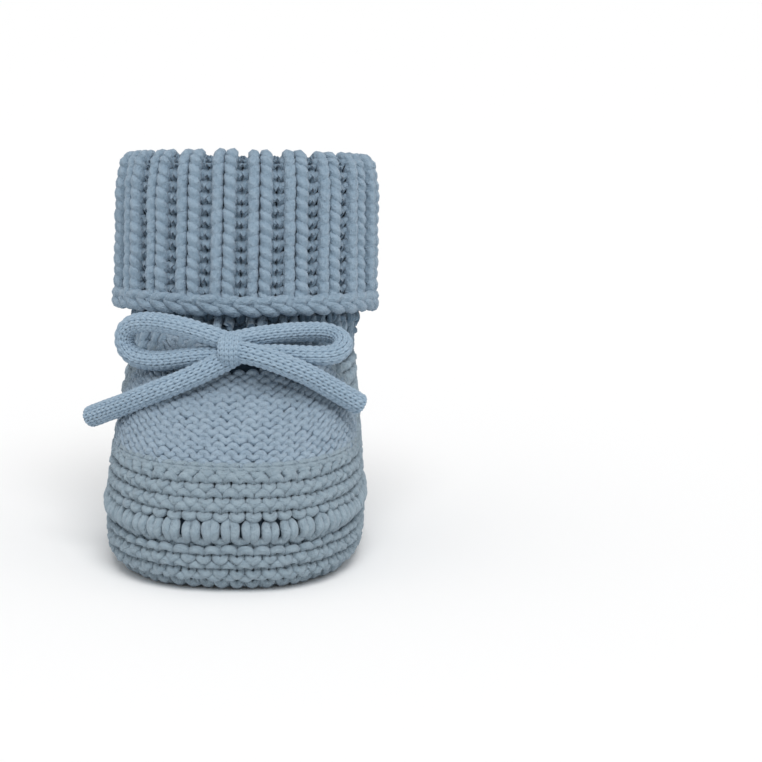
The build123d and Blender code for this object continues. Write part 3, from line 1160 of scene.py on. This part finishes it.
@dataclass
class Cuff:
    """Ribbed leg and its turned-down cuff.

    Attributes:
        wardrobe: Finishes.
        leg: Surface that the ribbing lies on.
        rows: Rows of the cuff.
        fold_rows: Rows that bend over the top.
        fold_line: Height of the fold's start above the leg's base.
        fold_flatness: Height of the fold against its depth.
        shoulder: How far the cuff draws in at the fold.
        shoulder_height: Height over which it draws in.
        drop: How far the cast-off edge hangs below the leg's base.
        edge_rise_side: How much higher the edge is at the sides.
        edge_rise_back: How much higher it is at the back.
        edge_height: Height of the cast-off edge.
        leg_rows: Rows of the leg.
        pair_width: Width of a pair of stitches at the middle of the cuff's wall.
        row: Height of a row.
    """

    wardrobe: Wardrobe
    leg: LegSurface
    rows: int = 12
    fold_rows: int = 4
    fold_line: float = 33.1
    fold_flatness: float = 0.92
    shoulder: float = 0.7
    shoulder_height: float = 6.5
    drop: float = 1.0
    edge_rise_side: float = 1.5
    edge_rise_back: float = 5.4
    edge_height: float = 2.6
    leg_rows: int = 13
    pair_width: float = 8.4
    row: float = 2.75

    def share(self, index: int) -> float:
        """Way round to the middle of a rib."""
        return 0.5 + (index + RIB_PHASE) / RIBS

    def length_at(self, share: np.ndarray) -> np.ndarray:
        """Length of the cuff below the fold."""
        depth = self.leg.depth_at(share)
        rise = self.edge_rise_side * (1 - depth**2) + np.where(depth > 0, self.edge_rise_back * depth**2, 0.0)
        return self.fold_line + self.drop - rise

    def around(self, index: int, x: np.ndarray) -> np.ndarray:
        """Way round for places across a rib's pair of stitches."""
        return 0.5 + (index + RIB_PHASE - 0.5) / RIBS + x / self.pair_width / RIBS

    def build(self) -> list[bpy.types.Object]:
        """Makes the leg, the ribs, the fold and the cast-off edge."""
        made = [self.leg_tube(), self.inner_side()]
        for index in range(RIBS):
            made += [self.rib(index), self.fold(index), self.edge(index)]
        return made

    def rib(self, index: int) -> bpy.types.Object:
        """One rib of the cuff, from the fold to the edge."""
        name = f"cuff_rib_{index + 1:02d}"
        strands = one_by_one(self.pair_width, self.row).strands(1, self.rows, 100 + 10 * index, sides=7)
        tall = self.rows * self.row

        def lay(points: np.ndarray) -> np.ndarray:
            share = self.around(index, points[:, 0])
            down = (points[:, 1] + self.row * 0.5) / tall * (self.length_at(share) - self.edge_height + 0.9)
            drawn = self.shoulder * np.clip(1 - down / self.shoulder_height, 0, 1.1) ** 2
            return self.leg.at(share, self.leg.offset + points[:, 2] - drawn, self.fold_line - down)

        piece = strands.build(name + "_knit", lay)
        self.wardrobe.dress(piece, Finish.RIB, "rib_knit")
        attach(piece, name)
        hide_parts(name)
        return piece

    def fold(self, index: int) -> bpy.types.Object:
        """The stretch of a rib that bends over the top, from the cuff to the leg."""
        strands = one_by_one(self.pair_width, self.row).strands(1, self.fold_rows, 500 + 10 * index, sides=7)
        tall = self.fold_rows * self.row

        def lay(points: np.ndarray) -> np.ndarray:
            share = self.around(index, points[:, 0])
            turn = (1 - (points[:, 1] + self.row * 0.5) / tall) * np.pi
            bend = np.clip(turn, 0, np.pi)
            reach = self.leg.offset + points[:, 2] - self.shoulder * np.cos(bend).clip(0)
            below = np.abs(turn - bend) * tall / np.pi
            up = self.fold_line + reach * np.sin(bend) * self.fold_flatness - below
            return self.leg.at(share, reach * np.cos(bend), up)

        piece = strands.build(f"cuff_fold_{index + 1:02d}_knit", lay)
        self.wardrobe.dress(piece, Finish.RIB, "rib_knit")
        at = np.array([self.share(index)])
        ends = [self.leg.at(at, np.array([offset]), np.array([self.leg.fold_height]))[0] * MM
                for offset in (-self.leg.offset, self.leg.offset)]
        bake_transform(piece)
        return piece

    def edge(self, index: int) -> bpy.types.Object:
        """Two links of the cast-off chain under a rib."""
        name = f"cuff_rib_{index + 1:02d}"
        links = 2
        long = self.pair_width / links
        turn = np.linspace(0, 2 * np.pi, 25)
        swell = (1 - np.cos(turn)) / 2
        x = long * (-0.34 + 1.42 * swell)
        y = 1.95 * np.sin(turn) * swell**0.85 + 0.9 * (swell - 0.5)
        lift = 1.15 * np.sin(np.pi * swell**0.8) - 0.35
        lines = np.stack([np.stack([x + long * (i + 0.02), y, lift], axis=-1) for i in range(links)])
        lines += np.random.default_rng(700 + index).uniform(-0.18, 0.18, (links, 1, 3))
        strands = Strands(lines, np.full(lines.shape[:2], 1.2), True, sides=8)

        def lay(points: np.ndarray) -> np.ndarray:
            share = self.around(index, points[:, 0])
            down = self.length_at(share) - self.edge_height * 0.75 + points[:, 1]
            return self.leg.at(share, self.leg.offset + 0.8 + points[:, 2], self.fold_line - down)

        piece = strands.build(f"cuff_edge_{index + 1:02d}_chain", lay)
        self.wardrobe.dress(piece, Finish.RIB, "rib_knit")
        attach(piece, name)
        return piece

    def inner_side(self) -> bpy.types.Object:
        """Middle of the leg's knitting, which closes the gaps between its stitches with a dark sheet of painted
        shade.
        """
        around = 120
        shares = np.arange(around) / around
        rings = [self.leg.at(shares, np.full(around, -self.leg.offset), np.full(around, up))
                 for up in np.linspace(-2.0, self.fold_line, 24)]
        piece = mesh_object("leg_inner_side", np.concatenate(rings), tube_quads(len(rings), around))
        self.wardrobe.dress(piece, Finish.SHADE_BACKING, "rib_knit")
        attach(piece, ROOT)
        declare_tube(piece, rings)
        return piece

    def leg_tube(self) -> bpy.types.Object:
        """The leg inside the cuff, in the same ribbing turned inside out."""
        strands = one_by_one(self.pair_width, self.row, 0.92).strands(RIBS, self.leg_rows, 900, True, sides=6)
        tall = self.leg_rows * self.row

        def lay(points: np.ndarray) -> np.ndarray:
            share = self.around(0, points[:, 0])
            up = self.fold_line - (self.fold_line + 3.2) * (points[:, 1] + self.row * 0.5) / tall
            return self.leg.at(share, -self.leg.offset - points[:, 2] * 0.8, up)

        piece = strands.build("leg_knit", lay)
        flip(piece)
        self.wardrobe.dress(piece, Finish.RIB, "rib_knit")
        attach(piece, ROOT)
        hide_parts("leg")
        return piece


def declare_tube(piece: bpy.types.Object, rings: list[np.ndarray]) -> None:
    """Logs the size that a tube of cloth has when it is cut open and laid flat.

    Args:
        piece: The tube.
        rings: Its rings of points from the bottom up, in millimetres.
    """
    table = np.stack(rings)
    width = float(np.linalg.norm(np.roll(table, -1, axis=1) - table, axis=2).sum(axis=1).mean())
    length = float(np.linalg.norm(np.diff(table, axis=0), axis=2).sum(axis=0).mean())
    LOG.info("%s: %.1f by %.1f mm when flat", piece.name, width, length)


def flip(piece: bpy.types.Object) -> None:
    """Turns a mesh's faces the other way, for yarn laid on the inner side."""
    piece.data.flip_normals()


# --------------------------------------------------------------------------- foot

@dataclass
class Foot:
    """Sole, sole band, welt, foot wall, instep panel with its seam, and ankle band.

    Attributes:
        wardrobe: Finishes.
        surface: Outside of the foot.
        skin: From the outside to the middle of the cloth.
        columns: Stitches round the foot.
        width: Width of a stitch before it is laid on the foot.
        panel_low: Height of the panel's lower edge.
        panel_top: Height of the panel's upper end.
        panel_corner: Radius of the panel's lower corners.
        panel_share: Half the panel's width as a share of the way round, at its top and its foot.
        seam_gap: Gap left for the seam on each side of the panel's edge.
        wall_top: Height of the foot wall's upper edge.
        eyelet: Middle of the eyelet at the front, from side to side.
    """

    wardrobe: Wardrobe
    surface: FootSurface
    skin: float = 1.5
    columns: int = 68
    width: float = 3.6
    panel_low: float = 27.2
    panel_top: float = 47.5
    panel_corner: float = 9.0
    panel_share: tuple[float, float] = (0.11, 0.225)
    seam_gap: float = 0.2
    wall_top: float = 45.6
    eyelet: float = 1.5

    def panel_side(self, height: np.ndarray) -> np.ndarray:
        """Half the panel's width at a height, as a share of the way round."""
        down = np.clip((self.panel_top - height) / (self.panel_top - self.panel_low), 0, 1)
        return self.panel_share[0] + (self.panel_share[1] - self.panel_share[0]) * down**0.8

    def in_panel(self, share: np.ndarray, height: np.ndarray, grow: float) -> np.ndarray:
        """Whether places on the foot lie in the instep panel, grown outwards."""
        off = np.abs(share % 1.0 - 0.5)
        up = height - self.panel_low + grow
        inward = (self.panel_side(height) - off) * self.surface.girth_at(height) + grow
        corner = self.panel_corner
        near = (up < corner) & (inward < corner)
        inside = (up > 0) & (inward > 0)
        return inside & (~near | (np.hypot(corner - up, corner - inward) < corner))

    def build(self) -> list[bpy.types.Object]:
        """Makes every piece of the foot."""
        made = [self.wall(f"foot_wall_knit_{i + 1}", 18.3 + 8.7 * i, 20 + 10 * i, columns)
                for i, columns in enumerate((self.columns, 62, 54))]
        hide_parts("foot_wall")
        return made + [self.band(), self.welt(), self.panel(), self.panel_seam(), self.ankle(), self.sole(),
                       self.ground()]

    def put(self, piece: bpy.types.Object, finish: Finish, slot: str, node: str | None = None
            ) -> bpy.types.Object:
        """Dresses a piece of the foot, puts it on the foot and hides the node that it stands for."""
        self.wardrobe.dress(piece, finish, slot)
        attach(piece, ROOT)
        if node:
            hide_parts(node)
        return piece

    def ring(self, points: np.ndarray, columns: int, width: float, sink: float) -> np.ndarray:
        """Lays flat points round the foot; their height is the height on the foot."""
        return self.surface.at(points[:, 0] / (columns * width), points[:, 1], points[:, 2] - sink)

    def wall(self, name: str, low: float, seed: int, columns: int) -> bpy.types.Object:
        """Three garter ridges round the foot, left out where the instep panel is."""
        strands = garter(self.width, 2.9, 0.90, columns, 3, seed, True, low, 0.17)
        x, y = strands.lines[:, :, 0], strands.lines[:, :, 1]
        strands.keep = ~self.in_panel(x / (columns * self.width), y, -self.seam_gap) & (y < self.wall_top)
        piece = strands.build(name, lambda points: self.ring(points, columns, self.width, self.skin))
        return self.put(piece, Finish.FOOT, "foot_knit")

    def band(self) -> bpy.types.Object:
        """Garter ridges of the rounded band between the sole and the welt."""
        strands = garter(self.width, 3.3, 0.95, self.columns, 3, 60, True, 2.1, 0.2)
        piece = strands.build("sole_band_knit",
                              lambda points: self.ring(points, self.columns, self.width, self.skin))
        return self.put(piece, Finish.FOOT, "sole_knit", "sole_band")

    def welt(self) -> bpy.types.Object:
        """Raised row of upright stitches."""
        columns, width, middle = 56, 4.4, 13.9
        strands = plain(width, 5.0, 1.08, Face.KNIT, 0.6, 0.20, 0.03, 0.50).strands(
            columns, 1, 70, True, 0.22, 8, middle)

        def lay(points: np.ndarray) -> np.ndarray:
            bulge = 0.7 * np.cos(np.clip((points[:, 1] - middle) / 4.0, -1, 1) * np.pi / 2)
            moved = points + np.stack([0 * bulge, 0 * bulge, bulge], axis=-1)
            return self.ring(moved, columns, width, 1.5)

        return self.put(strands.build("welt_knit", lay), Finish.FOOT, "welt_knit", "welt")

    def panel(self) -> bpy.types.Object:
        """The instep panel: rows of purl bumps across the toes and up to the ankle."""
        columns, width, row = 34, 3.2, 2.2
        strands = plain(width, row, 0.93, Face.PURL, 0.46, 0.25, 0.09, 0.84).strands(columns, 16, 80, level=0.9)
        strands.lines[:, :, 0] -= columns * width / 2

        def place(points: np.ndarray) -> tuple[np.ndarray, np.ndarray]:
            height = np.full(points.shape[:-1], self.panel_low)
            for _ in range(3):
                share = 0.5 + points[..., 0] / self.surface.girth_at(height)
                height = self.surface.climb(share, self.panel_low - 1.0, points[..., 1])
            return share, height

        def lay(points: np.ndarray) -> np.ndarray:
            share, height = place(points)
            return self.surface.at(share, height, points[:, 2] - self.skin + 0.35)

        share, height = place(strands.lines)
        mouth = (np.abs(strands.lines[:, :, 0] - self.eyelet) < 5.0) & (height > 43.6)
        strands.keep = self.in_panel(share, height, -self.seam_gap) & ~mouth
        return self.put(strands.build("instep_panel_knit", lay), Finish.INSTEP, "instep_knit", "instep_panel")

    def seam_line(self) -> tuple[np.ndarray, np.ndarray]:
        """The seam's way round and height, from the left of the ankle round the toes to the right."""
        top, low, corner = self.panel_top - 1.0, self.panel_low, self.panel_corner
        rise = np.linspace(top - low, corner, 40)
        bend = np.linspace(0, np.pi / 2, 24)[1:]
        up = np.concatenate([rise, corner - corner * np.sin(bend)])
        inward = np.concatenate([np.zeros(40), corner - corner * np.cos(bend)])
        height = low + up
        share = 0.5 - self.panel_side(height) + inward / self.surface.girth_at(height)
        flat = np.linspace(share[-1], 0.5, 50)[1:]
        share = np.concatenate([share, flat])
        height = np.concatenate([height, np.full(len(flat), low)])
        return (np.concatenate([share, 1 - share[-2::-1]]), np.concatenate([height, height[-2::-1]]))

    def panel_seam(self) -> bpy.types.Object:
        """Picked-up stitches round the instep panel, as a flat chain."""
        share, height = self.seam_line()
        where = self.surface.at(share, height, np.zeros(len(share)))
        walked = np.concatenate([[0], np.cumsum(np.linalg.norm(np.diff(where, axis=0), axis=1))])
        links = int(walked[-1] / 3.1)
        long = walked[-1] / links
        turn = np.linspace(0, 2 * np.pi, 21)
        swell = (1 - np.cos(turn)) / 2
        x = long * (-0.25 + 1.3 * swell)
        y = 0.72 * np.sin(turn) * (0.6 + 0.5 * swell)
        lift = 0.5 * np.sin(np.pi * swell) - 0.2
        lines = np.stack([np.stack([x + long * i, y, lift], axis=-1) for i in range(links)])
        strands = Strands(lines, np.full(lines.shape[:2], 0.80), True, sides=6)
        sink = 0.95

        def lay(points: np.ndarray) -> np.ndarray:
            s, h = np.interp(points[:, 0], walked, share), np.interp(points[:, 0], walked, height)
            ahead = [np.interp(points[:, 0] + 0.5, walked, table) for table in (share, height)]
            centre = self.surface.at(s, h, points[:, 2] - sink)
            run = self.surface.at(ahead[0], ahead[1], points[:, 2] - sink) - centre
            run /= np.linalg.norm(run, axis=1, keepdims=True) + TINY
            normal = self.surface.normal(s, h)
            return centre + np.cross(normal, run) * points[:, 1][:, None]

        return self.put(strands.build("instep_seam_chain", lay), Finish.FOOT, "instep_knit", "instep_seam")

    def ankle(self) -> bpy.types.Object:
        """Ribbed rows at the ankle, open at the front where the drawstring comes out."""
        rows, low, high, width, row = 4, 44.8, 52.6, 8.0, 2.3
        strands = one_by_one(width, row, 0.8).strands(RIBS, rows, 1000, True, sides=6)
        strands.lines[:, :, 2] *= 0.7

        def place(points: np.ndarray) -> tuple[np.ndarray, np.ndarray]:
            share = 0.5 + (RIB_PHASE - 0.5) / RIBS + points[..., 0] / width / RIBS
            return share, low + (points[..., 1] + row / 2) / (rows * row) * (high - low)

        def lay(points: np.ndarray) -> np.ndarray:
            return self.surface.at(*place(points), points[:, 2] - 1.4)

        where = lay(strands.lines.reshape(-1, 3))
        hole = (np.abs(where[:, 0] - self.eyelet) < 5.5) & (where[:, 1] < 0) & (where[:, 2] < 53.0)
        strands.keep = ~hole.reshape(strands.lines.shape[:2])
        return self.put(strands.build("ankle_band_knit", lay), Finish.RIB, "foot_knit", "ankle_band")

    def sole(self) -> bpy.types.Object:
        """Rows of plain knitting across the flat sole."""
        width, row, columns, rows = 3.8, 2.8, 15, 33
        strands = plain(width, row, 0.9, Face.PURL, 0.45).strands(columns, rows, 90, sides=5)
        strands.lines[:, :, 0] -= columns * width / 2
        strands.lines[:, :, 1] -= rows * row / 2
        edge = self.surface.grid[6, :AROUND // 2 + 1]
        order = np.argsort(edge[:, 1])
        x, y = strands.lines[:, :, 0], strands.lines[:, :, 1]
        limit = np.interp(y, edge[order, 1], np.abs(edge[order, 0]), 0.0, 0.0)
        strands.keep = (np.abs(x) < limit - 1.2) & (np.abs(y) < np.abs(edge[:, 1]).max() - 1.2)
        piece = strands.build("sole_knit", lambda p: np.stack([p[:, 0], p[:, 1], 1.9 - p[:, 2]], axis=-1))
        flip(piece)
        return self.put(piece, Finish.FOOT, "sole_knit", "sole")

    def ground(self) -> bpy.types.Object:
        """Inner side of the foot's knitting, which closes the gaps between stitches with a dark sheet of
        painted shade.
        """
        around = 120
        shares = np.arange(around) / around
        heights = np.linspace(1.5, 51.5, 42)
        rings = [self.surface.at(shares, np.full(around, h), np.full(around, -2.6)) for h in heights]
        piece = mesh_object("foot_inner_side", np.concatenate(rings), tube_quads(len(rings), around))
        declare_tube(piece, rings)
        return self.put(piece, Finish.SHADE_BACKING, "foot_knit")


def main() -> None:
    """Builds the whole scene."""
    logging.basicConfig(level=logging.INFO, format="%(name)s: %(message)s")
    Studio().build()
    wardrobe = Wardrobe()
    pieces = Drawstring(wardrobe).build()
    leg = LegSurface()
    pieces += Cuff(wardrobe, leg).build()
    pieces += Foot(wardrobe, FootSurface()).build()
    for piece in pieces:
        LOG.info("%s: %d triangles", piece.name, triangles(piece))
    LOG.info("whole bootie: %d triangles", sum(triangles(piece) for piece in pieces))


if __name__ == "__main__":
    main()
